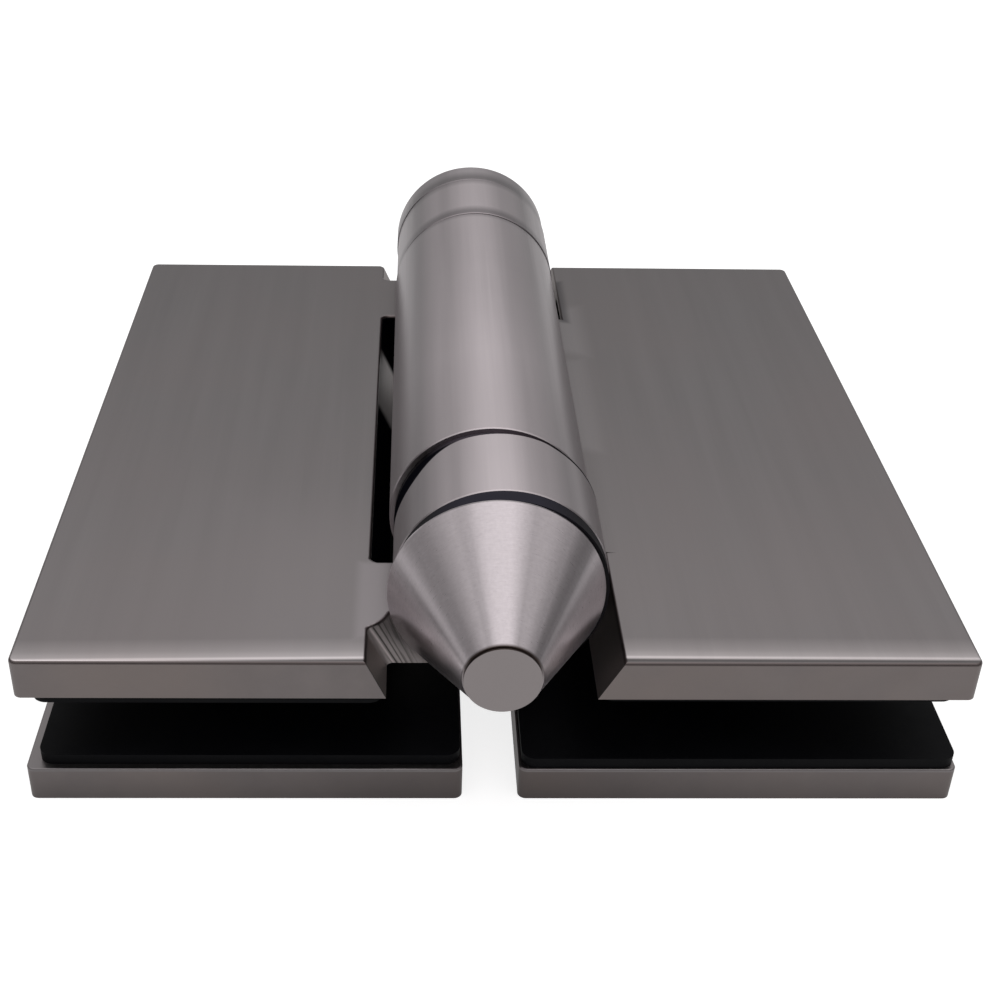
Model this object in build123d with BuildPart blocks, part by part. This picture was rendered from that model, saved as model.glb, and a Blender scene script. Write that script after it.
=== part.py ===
from build123d import *

import os

# Glass-to-glass pool gate hinge, in millimetres.
# +Y runs along the barrel from the cone to the cap, +X is the swinging leaf's side, and +Z is up from the back plates.
# The origin is the middle of the footprint, on the face that the back plates rest on.

# Plates
plate_length = 132.3
left_reach = 65.8  # pivot axis to the fixed leaf's outer edge
right_reach = 66.4  # pivot axis to the swinging leaf's outer edge
front_plate_thickness = 6.2  # the fixed one; the swinging one is thicker by what its gasket is thinner
back_plate_thickness = 5.5
left_slot = 2.9  # barrel to the fixed front plate's inner edge, at its top
right_slot = 2.6
left_lean = 2.8  # how much nearer to the barrel that edge is at its bottom
right_lean = 3.4
left_back_inner = 4.2
right_back_inner = 3.8
plate_corner = 1.2
plate_edge = 0.5

# Glass clamp
glass_thickness = 10.0
left_front_gasket_thickness = 1.3
right_front_gasket_thickness = 1.2
back_gasket_thickness = 1.7
gasket_corner = 2.0
gasket_end_inset = 1.1
right_gasket_end_inset = 0.4  # the swinging leaf's back gasket
gasket_inner_inset = 0.4
left_gasket_inset = 1.7
right_gasket_inset = 0.2
front_gasket_outer_inset = 2.2
left_gasket_forward = 0.5
screw_offset = 40.0  # pivot axis to the clamp screws
screw_spacing = 76.0
screw_radius = 3.0
screw_head_radius = 6.0
screw_head_recess = 0.1
screw_engagement = 4.2
screw_key = 4.0  # across flats
screw_key_depth = 2.0
screw_clearance = 0.3
thread_clearance = 0.05
spacer_radius = 7.0

# Barrel
barrel_radius = 14.9
tube_wall = 3.5
axis_rise = 6.8  # pivot axis above the front plates
near_play = 0.7  # the near knuckle and its seal sit this far towards the swinging leaf
far_play = 0.15  # the far knuckle
near_setback = 9.4  # plates' near edge to the near knuckle
near_knuckle_length = 15.0
far_knuckle_length = 17.7
ring_break = 0.15  # small bevels on the ends of the rings and the tube
cap_length = 8.1
cap_stand = 0.9  # how far the cap stands out past the plates
cap_rim = 1.8
seal_thickness = 2.4
seal_step = 0.15
cone_length = 19.1
cone_land = 0.3
tip_radius = 5.0
tip_height = 0.45
tip_step = 0.15
tip_round = 0.15
rim_break = 0.3

# Lugs, web and weld
lug_reach = 6.0  # how far each lug and the web reach in under the barrel's side
lug_stand = 1.6  # how far the near lug stands out past its knuckle
lug_scoop = 3.8  # how far its top is ground back beside the knuckle
lug_shoulder = 3.0
lug_scoop_bulge = 0.5
lug_front_bow = 0.02
lug_front_land = 0.5
lug_setback = 0.5  # how far each lug stops short of its ring's end at the tube
lug_fillet = 1.2  # where a lug meets the plate
lug_front_fillet = 0.8
web_inset = 0.5
weld_reach = 1.6
weld_height = 1.3
weld_hollow = 0.33

# Pivot and spring
pin_radius = 6.0
pin_clearance = 0.05
knuckle_clearance = 0.1
spigot_radius = 4.0
spigot_length = 9.0
fit_clearance = 0.02
end_clearance = 0.05
near_flange = 1.5
far_flange = 0.45
flange_step = 0.8
bush_length = 13.0
seat_gap = 0.3
disc_thickness = 5.0
disc_gap = 0.7  # disc's rim to the tube's bore
wire_width = 3.2
wire_depth = 2.8
spring_gap = 1.0  # wire to the tube's bore
coil_gap_share = 1.45  # pitch over wire width
tang_length = 3.5
lock_radius = 2.5
lock_dimple = 0.8
lock_key = 2.5
lock_recess = 0.8
lock_steps = 6
adjuster_key = 6.0
adjuster_key_depth = 6.0
cap_spigot_step = 6.0  # cap's outside to its spigot's
cap_spigot_wall = 2.0
cap_spigot_length = 4.0
anchor_pin_radius = 1.5
anchor_pin_depth = 4.0

# Distances out from the pivot axis
tube_bore = barrel_radius - tube_wall
left_inner = barrel_radius + left_slot
right_inner = barrel_radius + right_slot
lug_end = barrel_radius - lug_reach
disc_radius = tube_bore - disc_gap
spring_radius = tube_bore - spring_gap - wire_depth / 2
cap_spigot_radius = barrel_radius - cap_spigot_step

# Levels, up from the resting face
back_top = back_plate_thickness
glass_bottom = back_top + back_gasket_thickness
glass_top = glass_bottom + glass_thickness
front_bottom = glass_top + left_front_gasket_thickness
right_front_bottom = glass_top + right_front_gasket_thickness
front_top = front_bottom + front_plate_thickness
axis_z = front_top + axis_rise
axis_x = (left_reach - right_reach) / 2

# Places along the barrel
hinge_length = cap_stand + plate_length - near_setback + seal_thickness + cone_length
plate_far_y = hinge_length / 2 - cap_stand
plate_near_y = plate_far_y - plate_length
plate_mid_y = (plate_near_y + plate_far_y) / 2
near_knuckle_y0 = plate_near_y + near_setback
near_knuckle_y1 = near_knuckle_y0 + near_knuckle_length
cone_base_y = near_knuckle_y0 - seal_thickness
tip_y = cone_base_y - cone_length
cap_end_y = plate_far_y + cap_stand
far_knuckle_y1 = cap_end_y - cap_length
far_knuckle_y0 = far_knuckle_y1 - far_knuckle_length
tube_y0 = near_knuckle_y1 + end_clearance + near_flange
tube_y1 = far_knuckle_y0 - end_clearance - far_flange
near_bush_y1 = tube_y0 + bush_length
far_bush_y0 = tube_y1 - bush_length
pin_end_y = near_bush_y1 + seat_gap
anchor_y0 = pin_end_y + seat_gap
anchor_y1 = anchor_y0 + disc_thickness
disc_y1 = far_bush_y0 - seat_gap
disc_y0 = disc_y1 - disc_thickness
near_lock_y = (near_knuckle_y0 + near_knuckle_y1) / 2
far_lock_y = far_knuckle_y0 + (far_knuckle_length - cap_spigot_length) / 2
adjuster_end_y = far_knuckle_y1 - cap_spigot_length + seat_gap

# The profile plane of everything that is turned: along the barrel, and out from the pivot axis
turning = Plane(origin=(axis_x, 0, axis_z), x_dir=(0, 1, 0), z_dir=(1, 0, 0))
pivot = Axis((axis_x, 0, axis_z), (0, 1, 0))


def across(y, z=0.0):
    # A plane square to the barrel that faces the cone end, with its origin under or on the pivot axis
    return Plane(origin=(axis_x, y, z), x_dir=(1, 0, 0), z_dir=(0, -1, 0))


def screw_places(side):
    return [
        (axis_x + side * screw_offset, plate_mid_y - screw_spacing / 2),
        (axis_x + side * screw_offset, plate_mid_y + screw_spacing / 2),
    ]


def edge_at(plate, x, y):
    # The edge that stands at one place on a front plate's inner side, halfway up
    return plate.edges().sort_by_distance((x, y, (front_bottom + front_top) / 2))[0]


def tapped_holes(side, bottom):
    # Blind holes for the clamp screws
    with Locations(Plane.XY.offset(bottom)):
        with Locations(*screw_places(side)):
            Cylinder(
                screw_radius + thread_clearance,
                front_bottom - bottom + screw_engagement + screw_clearance,
                align=(Align.CENTER, Align.CENTER, Align.MIN),
                mode=Mode.SUBTRACT,
            )


# Fixed leaf, front plate with its two lugs
with BuildPart() as left_front_plate:
    with BuildSketch(across(plate_far_y)):
        with BuildLine():
            Polyline(
                (-left_reach, front_top),
                (-left_inner, front_top),
                (-left_inner + left_lean, front_bottom),
                (-left_reach, front_bottom),
                close=True,
            )
        make_face()
    extrude(amount=plate_length)
    # The near lug: its front is ground back at the top, beside the knuckle
    lug_root = axis_x - left_inner - left_lean
    lug_tip = axis_x - lug_end
    lug_front = near_knuckle_y0 - lug_stand
    near_lug_end = near_knuckle_y1 - lug_setback
    with BuildSketch(Plane.XY.offset(front_bottom)):
        with BuildLine():
            bottom_run = Line((lug_root, lug_front), (lug_root + left_lean * 2, lug_front))
            bottom_curve = SagittaArc(
                bottom_run @ 1,
                (lug_tip - lug_front_land, lug_front),
                -lug_front_bow,
            )
            Polyline(
                bottom_curve @ 1,
                (lug_tip, lug_front),
                (lug_tip, near_lug_end),
                (lug_root, near_lug_end),
                bottom_run @ 0,
            )
        make_face()
    with BuildSketch(Plane.XY.offset(front_top)):
        with BuildLine():
            top_run = Line((lug_root, lug_front), (lug_root + left_lean, lug_front))
            scoop_end = (axis_x - left_inner + lug_shoulder, lug_front + lug_scoop)
            top_curve = SagittaArc(top_run @ 1, scoop_end, -lug_scoop_bulge)
            Polyline(
                top_curve @ 1,
                (lug_tip, lug_front + lug_scoop),
                (lug_tip, near_lug_end),
                (lug_root, near_lug_end),
                top_run @ 0,
            )
        make_face()
    loft(ruled=True)
    # The far lug is square
    far_lug_start = far_knuckle_y0 + lug_setback
    far_lug_middle = (far_lug_start + far_knuckle_y1) / 2
    with BuildSketch(Plane.XY.offset(front_bottom)):
        with Locations(((lug_root + lug_tip) / 2, far_lug_middle)):
            Rectangle(lug_tip - lug_root, far_knuckle_y1 - far_lug_start)
    extrude(amount=front_plate_thickness)
    # Rounded corners: the plate's own, and where the lugs stand out from its leaning side
    side_x = axis_x - left_inner + left_lean / 2
    outer_corners = left_front_plate.edges().filter_by(Axis.Z).sort_by(Axis.X)[:2]
    far_corner = edge_at(left_front_plate, side_x, plate_far_y)
    fillet([*outer_corners, far_corner], radius=plate_corner)
    for lug_end_y in (near_lug_end, far_lug_start, far_knuckle_y1):
        fillet(edge_at(left_front_plate, side_x, lug_end_y), radius=lug_fillet)
    fillet(edge_at(left_front_plate, side_x, lug_front), radius=lug_front_fillet)
    fillet(left_front_plate.faces().sort_by(Axis.Z)[-1].edges(), radius=plate_edge)
    # Saddles that the knuckle rings sit in
    with BuildSketch(across(near_knuckle_y1, axis_z)):
        with Locations((near_play, 0)):
            Circle(barrel_radius)
    extrude(amount=near_knuckle_length + lug_stand, mode=Mode.SUBTRACT)
    with BuildSketch(across(far_knuckle_y1, axis_z)):
        with Locations((far_play, 0)):
            Circle(barrel_radius)
    extrude(amount=far_knuckle_length, mode=Mode.SUBTRACT)
    tapped_holes(-1, front_bottom)
left_front_plate.part.label = "left_front_plate"

# Swinging leaf, front plate with its web and the ground weld beside the barrel
with BuildPart() as right_front_plate:
    with BuildSketch(across(plate_far_y)):
        with BuildLine():
            Polyline(
                (right_inner, front_top),
                (right_reach, front_top),
                (right_reach, right_front_bottom),
                (right_inner - right_lean, right_front_bottom),
                close=True,
            )
        make_face()
    extrude(amount=plate_length)
    fillet(right_front_plate.edges().filter_by(Axis.Z), radius=plate_corner)
    fillet(right_front_plate.faces().sort_by(Axis.Z)[-1].edges(), radius=plate_edge)
    web_length = tube_y1 - tube_y0 - 2 * web_inset
    weld_drop = axis_rise - weld_height
    weld_toe = (barrel_radius**2 - weld_drop**2) ** 0.5
    with BuildSketch(across(tube_y1 - web_inset)):
        with BuildLine():
            weld_face = SagittaArc(
                (right_inner + weld_reach, front_top),
                (weld_toe, front_top + weld_height),
                weld_hollow,
            )
            Polyline(
                weld_face @ 1,
                (lug_end, front_top + weld_height),
                (lug_end, right_front_bottom),
                (right_inner + weld_reach, right_front_bottom),
                weld_face @ 0,
            )
        make_face()
        with Locations((0, axis_z)):
            Circle(barrel_radius, mode=Mode.SUBTRACT)
    extrude(amount=web_length)
    tapped_holes(1, right_front_bottom)
right_front_plate.part.label = "right_front_plate"


def slab(side, inner, outer, near, far, bottom, thickness, corner):
    # A flat piece of one leaf, with rounded corners, from its inner to its outer edge
    middle = (axis_x + side * (inner + outer) / 2, (near + far) / 2)
    with BuildPart() as flat:
        with BuildSketch(Plane.XY.offset(bottom)):
            with Locations(middle):
                RectangleRounded(outer - inner, far - near, corner)
        extrude(amount=thickness)
        with Locations(Plane.XY.offset(bottom)):
            with Locations(*screw_places(side)):
                Cylinder(
                    screw_radius + screw_clearance,
                    thickness,
                    align=(Align.CENTER, Align.CENTER, Align.MIN),
                    mode=Mode.SUBTRACT,
                )
    return flat


def back_plate(side, inner, outer):
    # A slab whose screw holes are countersunk from the resting face
    blank = slab(side, inner, outer, plate_near_y, plate_far_y, 0, back_plate_thickness, plate_corner)
    with BuildPart() as plate:
        add(blank.part)
        face = Plane(origin=(0, 0, 0), x_dir=(1, 0, 0), z_dir=(0, 0, -1))
        with Locations(face):
            with Locations(*[(x, -y) for x, y in screw_places(side)]):
                CounterSinkHole(
                    radius=screw_radius + screw_clearance,
                    counter_sink_radius=screw_head_radius + screw_clearance,
                    depth=back_plate_thickness,
                    counter_sink_angle=90,
                )
        rims = plate.faces().sort_by(Axis.Z)[-1].edges().filter_by(GeomType.CIRCLE, reverse=True)
        fillet(rims, radius=plate_edge / 2)
    return plate


left_back_plate = back_plate(-1, left_back_inner, left_reach)
left_back_plate.part.label = "left_back_plate"
right_back_plate = back_plate(1, right_back_inner, right_reach)
right_back_plate.part.label = "right_back_plate"


def gasket(side, inner, outer, bottom, thickness, end_inset=gasket_end_inset, forward=0.0):
    # A rubber sheet a little smaller than its plate
    near = plate_near_y + end_inset - forward
    far = plate_far_y - end_inset - forward
    return slab(side, inner + gasket_inner_inset, outer, near, far, bottom, thickness, gasket_corner)


left_front_gasket = gasket(
    -1,
    left_inner - left_lean,
    left_reach - front_gasket_outer_inset,
    glass_top,
    left_front_gasket_thickness,
    forward=left_gasket_forward,
)
left_front_gasket.part.label = "left_front_gasket"
right_front_gasket = gasket(
    1,
    right_inner - right_lean,
    right_reach - front_gasket_outer_inset,
    glass_top,
    right_front_gasket_thickness,
)
right_front_gasket.part.label = "right_front_gasket"
left_back_gasket = gasket(
    -1,
    left_back_inner,
    left_reach - left_gasket_inset,
    back_top,
    back_gasket_thickness,
)
left_back_gasket.part.label = "left_back_gasket"
right_back_gasket = gasket(
    1,
    right_back_inner,
    right_reach - right_gasket_inset,
    back_top,
    back_gasket_thickness,
    end_inset=right_gasket_end_inset,
)
right_back_gasket.part.label = "right_back_gasket"


def spacer_bushes(side):
    # Sleeves round the clamp screws, as long as the glass is thick
    with BuildPart() as bushes:
        with BuildSketch(Plane.XY.offset(glass_bottom)):
            with Locations(*screw_places(side)):
                Circle(spacer_radius)
                Circle(screw_radius + screw_clearance, mode=Mode.SUBTRACT)
        extrude(amount=glass_thickness)
    return bushes


def clamp_screws(side):
    # Countersunk screws: a socket in the head, a plain shank, and the tip in the front plate
    head_top = screw_head_recess
    shank_top = head_top + screw_head_radius - screw_radius
    tip = front_bottom + screw_engagement
    with BuildPart() as one:
        with BuildSketch(Plane.XZ):
            with BuildLine():
                Polyline(
                    (0, head_top),
                    (screw_head_radius, head_top),
                    (screw_radius, shank_top),
                    (screw_radius, tip - rim_break),
                    (screw_radius - rim_break, tip),
                    (0, tip),
                    close=True,
                )
            make_face()
        revolve(axis=Axis.Z)
        with BuildSketch(Plane.XY.offset(head_top)):
            RegularPolygon(screw_key / 2, 6, major_radius=False)
        extrude(amount=screw_key_depth, mode=Mode.SUBTRACT)
    with BuildPart() as screws:
        with Locations(*screw_places(side)):
            add(one.part)
    return screws


left_spacer_bushes = spacer_bushes(-1)
left_spacer_bushes.part.label = "left_spacer_bushes"
right_spacer_bushes = spacer_bushes(1)
right_spacer_bushes.part.label = "right_spacer_bushes"
left_clamp_screws = clamp_screws(-1)
left_clamp_screws.part.label = "left_clamp_screws"
right_clamp_screws = clamp_screws(1)
right_clamp_screws.part.label = "right_clamp_screws"


def lock_hole(y, radius, low, high):
    # A round hole up into the barrel from below, from one level under the pivot axis to another
    with Locations(Plane.XY.offset(axis_z - low)):
        with Locations((axis_x, y)):
            Cylinder(
                radius,
                low - high,
                align=(Align.CENTER, Align.CENTER, Align.MIN),
                mode=Mode.SUBTRACT,
            )


# Knuckle rings of the fixed leaf, bored on the pivot axis
with BuildPart() as near_knuckle:
    with BuildSketch(across(near_knuckle_y1, axis_z)):
        with Locations((near_play, 0)):
            Circle(barrel_radius)
    extrude(amount=near_knuckle_length)
    chamfer(near_knuckle.edges().filter_by(GeomType.CIRCLE), length=ring_break)
    with BuildSketch(across(near_knuckle_y1, axis_z)):
        Circle(pin_radius + knuckle_clearance)
    extrude(amount=near_knuckle_length, mode=Mode.SUBTRACT)
    lock_hole(near_lock_y, lock_radius + thread_clearance, barrel_radius + near_play, 0)
near_knuckle.part.label = "near_knuckle"

with BuildPart() as far_knuckle:
    with BuildSketch(across(far_knuckle_y1, axis_z)):
        with Locations((far_play, 0)):
            Circle(barrel_radius)
    extrude(amount=far_knuckle_length)
    chamfer(far_knuckle.edges().filter_by(GeomType.CIRCLE), length=ring_break)
    with BuildSketch(across(far_knuckle_y1, axis_z)):
        Circle(pin_radius + knuckle_clearance)
    extrude(amount=far_knuckle_length, mode=Mode.SUBTRACT)
    with BuildSketch(across(far_knuckle_y1, axis_z)):
        Circle(cap_spigot_radius + knuckle_clearance)
    extrude(amount=cap_spigot_length + seat_gap, mode=Mode.SUBTRACT)
    lock_hole(far_lock_y, lock_radius + thread_clearance, barrel_radius + far_play, 0)
far_knuckle.part.label = "far_knuckle"

# Barrel tube of the swinging leaf
with BuildPart() as barrel_tube:
    with BuildSketch(turning):
        with BuildLine():
            Polyline(
                (tube_y0, tube_bore),
                (tube_y0, barrel_radius - ring_break),
                (tube_y0 + ring_break, barrel_radius),
                (tube_y1 - ring_break, barrel_radius),
                (tube_y1, barrel_radius - ring_break),
                (tube_y1, tube_bore),
                close=True,
            )
        make_face()
    revolve(axis=pivot)
    anchor_mid_y = (anchor_y0 + anchor_y1) / 2
    lock_hole(anchor_mid_y, anchor_pin_radius + fit_clearance, barrel_radius, tube_bore / 2)
barrel_tube.part.label = "barrel_tube"

# End cone, on the pin's spigot
with BuildPart() as end_cone:
    with BuildSketch(turning):
        with BuildLine():
            Polyline(
                (cone_base_y, 0),
                (cone_base_y, barrel_radius - ring_break),
                (cone_base_y - ring_break, barrel_radius),
                (cone_base_y - ring_break - cone_land, barrel_radius),
                (tip_y + tip_height, tip_radius + tip_step),
                (tip_y + tip_height, tip_radius),
                (tip_y, tip_radius),
                (tip_y, 0),
                close=True,
            )
        make_face()
        with BuildLine():
            Polyline(
                (cone_base_y, 0),
                (cone_base_y, spigot_radius + thread_clearance),
                (cone_base_y - spigot_length - seat_gap, spigot_radius + thread_clearance),
                (cone_base_y - spigot_length - seat_gap, 0),
                close=True,
            )
        make_face(mode=Mode.SUBTRACT)
    revolve(axis=pivot)
    # The rim round the raised disc is softly rounded
    under_rim = (axis_x, tip_y + tip_height, axis_z - tip_radius - tip_step)
    fillet(end_cone.edges().sort_by_distance(under_rim)[0], radius=tip_round)
end_cone.part.label = "end_cone"

# Rubber ring between cone and near knuckle, in line with the knuckle
with BuildPart() as cone_seal:
    with BuildSketch(across(near_knuckle_y0, axis_z)):
        with Locations((near_play, 0)):
            Circle(barrel_radius - seal_step)
        Circle(pin_radius + knuckle_clearance, mode=Mode.SUBTRACT)
    extrude(amount=seal_thickness)
cone_seal.part.label = "cone_seal"

# Pivot pin: spigot in the cone, shoulder on its base, journal in the near bush
with BuildPart() as pivot_pin:
    with BuildSketch(turning):
        with BuildLine():
            Polyline(
                (cone_base_y - spigot_length, 0),
                (cone_base_y - spigot_length, spigot_radius - rim_break),
                (cone_base_y - spigot_length + rim_break, spigot_radius),
                (cone_base_y, spigot_radius),
                (cone_base_y, pin_radius),
                (pin_end_y - rim_break, pin_radius),
                (pin_end_y, pin_radius - rim_break),
                (pin_end_y, 0),
                close=True,
            )
        make_face()
    revolve(axis=pivot)
    lock_hole(near_lock_y, lock_radius + thread_clearance, pin_radius, pin_radius - lock_dimple)
pivot_pin.part.label = "pivot_pin"


def flanged_bush(tube_end, inward, flange_thickness):
    # A plain bearing pressed into one end of the tube; its flange runs against the knuckle
    with BuildPart() as bush:
        with BuildSketch(turning):
            with BuildLine():
                Polyline(
                    (tube_end + inward * bush_length, pin_radius + pin_clearance),
                    (tube_end + inward * bush_length, tube_bore - fit_clearance),
                    (tube_end, tube_bore - fit_clearance),
                    (tube_end, barrel_radius - flange_step),
                    (tube_end - inward * flange_thickness, barrel_radius - flange_step),
                    (tube_end - inward * flange_thickness, pin_radius + pin_clearance),
                    close=True,
                )
            make_face()
        revolve(axis=pivot)
    return bush


near_bush = flanged_bush(tube_y0, 1, near_flange)
near_bush.part.label = "near_bush"
far_bush = flanged_bush(tube_y1, -1, far_flange)
far_bush.part.label = "far_bush"


def tang_slot(y, side):
    # A notch through a disc that takes the end of the spring wire, open at the rim
    notch_width = wire_width + 2 * seat_gap
    notch_depth = disc_radius - spring_radius + wire_depth / 2 + seat_gap
    with BuildSketch(across(y, axis_z)) as notch:
        with Locations((side * wire_width / 2, disc_radius - notch_depth)):
            Rectangle(notch_width, notch_depth + wire_depth, align=(Align.CENTER, Align.MIN))
    extrude(notch.sketch, amount=-disc_thickness, mode=Mode.SUBTRACT)


# Tension adjuster: spring disc, journal in the far bush, and a hex socket under the cap
with BuildPart() as tension_adjuster:
    with BuildSketch(turning):
        with BuildLine():
            Polyline(
                (disc_y0, 0),
                (disc_y0, disc_radius),
                (disc_y1, disc_radius),
                (disc_y1, pin_radius),
                (adjuster_end_y - rim_break, pin_radius),
                (adjuster_end_y, pin_radius - rim_break),
                (adjuster_end_y, 0),
                close=True,
            )
        make_face()
    revolve(axis=pivot)
    with BuildSketch(across(adjuster_end_y, axis_z)):
        RegularPolygon(adjuster_key / 2, 6, major_radius=False)
    extrude(amount=adjuster_key_depth, mode=Mode.SUBTRACT)
    tang_slot(disc_y0, 1)
    with Locations(Plane(origin=(axis_x, far_lock_y, axis_z), x_dir=(0, 0, -1), z_dir=(0, 1, 0))):
        with PolarLocations(pin_radius - lock_dimple, lock_steps):
            Cylinder(
                lock_radius + thread_clearance,
                lock_dimple * 2,
                rotation=(0, 90, 0),
                align=(Align.CENTER, Align.CENTER, Align.MIN),
                mode=Mode.SUBTRACT,
            )
tension_adjuster.part.label = "tension_adjuster"

# Spring anchor: a plug pinned in the tube, with a notch for the spring's other end
with BuildPart() as spring_anchor:
    with BuildSketch(across(anchor_y1, axis_z)):
        Circle(tube_bore - fit_clearance)
    extrude(amount=disc_thickness)
    tang_slot(anchor_y0, -1)
    lock_hole(
        anchor_mid_y,
        anchor_pin_radius + fit_clearance,
        tube_bore,
        tube_bore - anchor_pin_depth - seat_gap,
    )
spring_anchor.part.label = "spring_anchor"

with BuildPart() as anchor_pin:
    with Locations(Plane.XY.offset(axis_z - barrel_radius + rim_break)):
        with Locations((axis_x, anchor_mid_y)):
            Cylinder(
                anchor_pin_radius,
                barrel_radius - rim_break - tube_bore + anchor_pin_depth,
                align=(Align.CENTER, Align.CENTER, Align.MIN),
            )
anchor_pin.part.label = "anchor_pin"

# Torsion spring of square wire; each end is a tang in a disc's notch
spring_y0 = anchor_y1 + seat_gap
spring_y1 = disc_y0 - seat_gap
spring_travel = spring_y1 - spring_y0 - wire_width
spring_turns = int(spring_travel // (wire_width * coil_gap_share))
spring_pitch = spring_travel / spring_turns
coil_start = (axis_x, spring_y0 + wire_width / 2, axis_z)
with BuildPart() as torsion_spring:
    with BuildLine() as coil:
        Helix(spring_pitch, spring_travel, spring_radius, center=coil_start, direction=(0, 1, 0))
    wire_section = Plane(origin=coil.line @ 0, x_dir=(0, 1, 0), z_dir=coil.line % 0)
    with BuildSketch(wire_section):
        Rectangle(wire_width, wire_depth)
    sweep(path=coil.line, is_frenet=True)
    tang_z = axis_z + spring_radius
    with Locations((axis_x - wire_width / 2, anchor_y1 - tang_length, tang_z)):
        Box(
            wire_width,
            tang_length + seat_gap + wire_width,
            wire_depth,
            align=(Align.CENTER, Align.MIN, Align.CENTER),
        )
    with Locations((axis_x + wire_width / 2, disc_y0 + tang_length, tang_z)):
        Box(
            wire_width,
            tang_length + seat_gap + wire_width,
            wire_depth,
            align=(Align.CENTER, Align.MAX, Align.CENTER),
        )
torsion_spring.part.label = "torsion_spring"

# Grub screws up from below that hold the pin and the adjuster still
with BuildPart() as knuckle_lock_screws:
    lock_bottom = axis_z - barrel_radius + lock_recess
    lock_top = axis_z - pin_radius + lock_dimple - end_clearance
    for lock_y in (near_lock_y, far_lock_y):
        with Locations((axis_x, lock_y, lock_bottom)):
            Cylinder(lock_radius, lock_top - lock_bottom, align=(Align.CENTER, Align.CENTER, Align.MIN))
    with BuildSketch(Plane.XY.offset(lock_bottom)):
        with Locations((axis_x, near_lock_y), (axis_x, far_lock_y)):
            RegularPolygon(lock_key / 2, 6, major_radius=False)
    extrude(amount=lock_key, mode=Mode.SUBTRACT)
knuckle_lock_screws.part.label = "knuckle_lock_screws"

# Cap over the adjuster, with a rounded rim and a spigot that plugs into the far knuckle
with BuildPart() as far_cap:
    with BuildSketch(turning):
        with BuildLine():
            rim = RadiusArc(
                (cap_end_y - cap_rim, barrel_radius),
                (cap_end_y, barrel_radius - cap_rim),
                cap_rim,
            )
            Polyline(
                rim @ 1,
                (cap_end_y, 0),
                (far_knuckle_y1, 0),
                (far_knuckle_y1, cap_spigot_radius - cap_spigot_wall),
                (far_knuckle_y1 - cap_spigot_length, cap_spigot_radius - cap_spigot_wall),
                (far_knuckle_y1 - cap_spigot_length, cap_spigot_radius),
                (far_knuckle_y1, cap_spigot_radius),
                (far_knuckle_y1, barrel_radius - ring_break),
                (far_knuckle_y1 + ring_break, barrel_radius),
                rim @ 0,
            )
        make_face()
    revolve(axis=pivot)
far_cap.part.label = "far_cap"

os.makedirs("parts", exist_ok=True)
export_step(left_front_plate.part, "parts/left_front_plate.step")
export_step(left_back_plate.part, "parts/left_back_plate.step")
export_step(left_front_gasket.part, "parts/left_front_gasket.step")
export_step(left_back_gasket.part, "parts/left_back_gasket.step")
export_step(left_spacer_bushes.part, "parts/left_spacer_bushes.step")
export_step(left_clamp_screws.part, "parts/left_clamp_screws.step")
export_step(near_knuckle.part, "parts/near_knuckle.step")
export_step(far_knuckle.part, "parts/far_knuckle.step")
export_step(end_cone.part, "parts/end_cone.step")
export_step(cone_seal.part, "parts/cone_seal.step")
export_step(pivot_pin.part, "parts/pivot_pin.step")
export_step(tension_adjuster.part, "parts/tension_adjuster.step")
export_step(knuckle_lock_screws.part, "parts/knuckle_lock_screws.step")
export_step(far_cap.part, "parts/far_cap.step")
export_step(torsion_spring.part, "parts/torsion_spring.step")
export_step(right_front_plate.part, "parts/right_front_plate.step")
export_step(right_back_plate.part, "parts/right_back_plate.step")
export_step(right_front_gasket.part, "parts/right_front_gasket.step")
export_step(right_back_gasket.part, "parts/right_back_gasket.step")
export_step(right_spacer_bushes.part, "parts/right_spacer_bushes.step")
export_step(right_clamp_screws.part, "parts/right_clamp_screws.step")
export_step(barrel_tube.part, "parts/barrel_tube.step")
export_step(near_bush.part, "parts/near_bush.step")
export_step(far_bush.part, "parts/far_bush.step")
export_step(spring_anchor.part, "parts/spring_anchor.step")
export_step(anchor_pin.part, "parts/anchor_pin.step")
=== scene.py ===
import math

import bpy
from mathutils import Matrix, Vector


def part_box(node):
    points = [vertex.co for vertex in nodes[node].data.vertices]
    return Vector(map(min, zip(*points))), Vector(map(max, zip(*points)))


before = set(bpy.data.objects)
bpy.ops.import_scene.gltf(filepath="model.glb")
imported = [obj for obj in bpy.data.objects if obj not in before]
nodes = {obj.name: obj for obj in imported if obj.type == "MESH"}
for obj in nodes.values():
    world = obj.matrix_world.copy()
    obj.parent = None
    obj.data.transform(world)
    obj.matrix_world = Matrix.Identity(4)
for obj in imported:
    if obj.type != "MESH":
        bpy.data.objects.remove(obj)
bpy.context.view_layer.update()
print("frame loaded:", len(nodes), "nodes")

perMetre = 1000.0  # places in the materials are in millimetres

# the barrel's axis and radius, read from the tube
tubeLow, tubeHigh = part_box("barrel_tube")
axisX = (tubeLow.x + tubeHigh.x) / 2 * perMetre
axisZ = (tubeLow.z + tubeHigh.z) / 2 * perMetre
barrelRadius = (tubeHigh.x - tubeLow.x) / 2 * perMetre
wrapRadius = 15.0  # patterns are wrapped round the barrel at this radius


# small helpers for node trees
def addNode(tree, kind, at, **settings):
    node = tree.nodes.new(kind)
    node.location = at
    for name, value in settings.items():
        setattr(node, name, value)
    return node


def setInputs(node, **values):
    for name, value in values.items():
        node.inputs[name.replace("_", " ")].default_value = value


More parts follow.
